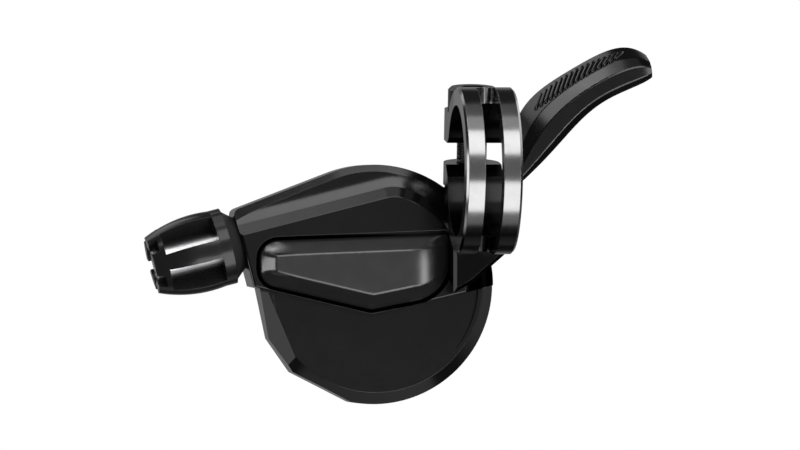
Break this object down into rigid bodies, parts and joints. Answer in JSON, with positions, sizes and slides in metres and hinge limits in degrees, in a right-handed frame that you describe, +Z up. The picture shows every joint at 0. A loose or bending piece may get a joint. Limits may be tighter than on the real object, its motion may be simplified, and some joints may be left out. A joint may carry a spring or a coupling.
{
  "type": "trigger gear shifter",
  "caption": "Trigger gear shifter for a flat handlebar: round stepped housing, split clamp band, curved thumb lever and ribbed barrel cable adjuster.",
  "frame": {"origin": "centre of the handlebar clamp's bore", "axes": "+X along the handlebar towards the lever's tip, +Y away from the viewer of the badge, +Z up"},
  "size_m": [0.088, 0.0491, 0.0613],
  "materials": {
    "case_plastic": "satin black moulded nylon",
    "cover_plastic": "satin black moulded nylon",
    "badge_metal": "satin gunmetal paint",
    "plate_steel": "stamped and plated",
    "bright_steel": "turned and zinc plated",
    "clamp_alloy": "satin black anodised",
    "black_steel": "black oxide",
    "slide_plastic": "natural acetal",
    "drum_plastic": "grey acetal",
    "bush_bronze": "sintered bronze",
    "spring_steel": "drawn spring wire",
    "lever_plastic": "satin black fibre-filled nylon",
    "knob_alloy": "black anodised",
    "tube_alloy": "bright turned",
    "seal_rubber": "matt rubber"
  },
  "bodies": {
    "housing": {"front_case": "case_plastic", "lower_cover": "cover_plastic", "badge_pad": "badge_metal", "base_plate": "plate_steel", "cover_screws": "bright_steel", "clamp_bracket": "clamp_alloy", "clamp_bolt": "black_steel", "bracket_bolt": "black_steel", "main_axle": "bright_steel", "thrust_washer": "slide_plastic", "lever_washer": "slide_plastic", "axle_washer": "bright_steel", "axle_nut": "black_steel", "hold_pawl_pin": "bright_steel", "hold_pawl_spring": "spring_steel", "drum_spring": "spring_steel", "lever_spring": "spring_steel"},
    "lever": {"main_lever": "lever_plastic", "lever_bush": "bush_bronze", "drive_pawl_pin": "bright_steel", "drive_pawl_spring": "spring_steel"},
    "drive_pawl": {"drive_pawl": "plate_steel"},
    "hold_pawl": {"hold_pawl": "plate_steel"},
    "drum": {"cable_drum": "drum_plastic", "drum_bush": "bush_bronze", "ratchet_plate": "plate_steel"},
    "adjuster_tube": {"adjuster_tube": "tube_alloy"},
    "adjuster_knob": {"barrel_adjuster": "knob_alloy", "adjuster_seal": "seal_rubber"}
  },
  "joints": [
    {"name": "lever", "type": "hinge", "parent": "housing", "child": "lever", "pos_m": [-0.0166, 0.02, -0.0194], "axis": [0, 1, 0], "range_deg": [-12, 48], "stiffness_Nm_per_rad": 0.3, "deforming": ["lever_spring"]},
    {"name": "drum", "type": "hinge", "parent": "housing", "child": "drum", "pos_m": [-0.0166, 0.02, -0.0194], "axis": [0, 1, 0], "range_deg": [0, 36], "stiffness_Nm_per_rad": 0.2, "deforming": ["drum_spring"]},
    {"name": "drive_pawl", "type": "hinge", "parent": "lever", "child": "drive_pawl", "pos_m": [-0.01184, 0.0227, -0.03405], "axis": [0, 1, 0], "range_deg": [0, 11], "stiffness_Nm_per_rad": 0.002, "deforming": ["drive_pawl_spring"]},
    {"name": "hold_pawl", "type": "hinge", "parent": "housing", "child": "hold_pawl", "pos_m": [-0.0089, 0.0227, -0.00606], "axis": [0, 1, 0], "range_deg": [0, 11], "stiffness_Nm_per_rad": 0.002, "deforming": ["hold_pawl_spring"]},
    {"name": "adjuster_advance", "type": "slide", "parent": "housing", "child": "adjuster_tube", "axis": [-0.9686, 0, -0.2487], "range_m": [0, 0.003]},
    {"name": "adjuster_turn", "type": "hinge", "parent": "adjuster_tube", "child": "adjuster_knob", "pos_m": [-0.04153, 0.02, -0.01279], "axis": [-0.9686, 0, -0.2487], "range_deg": [0, 1440]}
  ],
  "couplings": [
    {"joint": "adjuster_turn", "follows": "adjuster_advance", "rad_per_m": 8377.6}
  ]
}
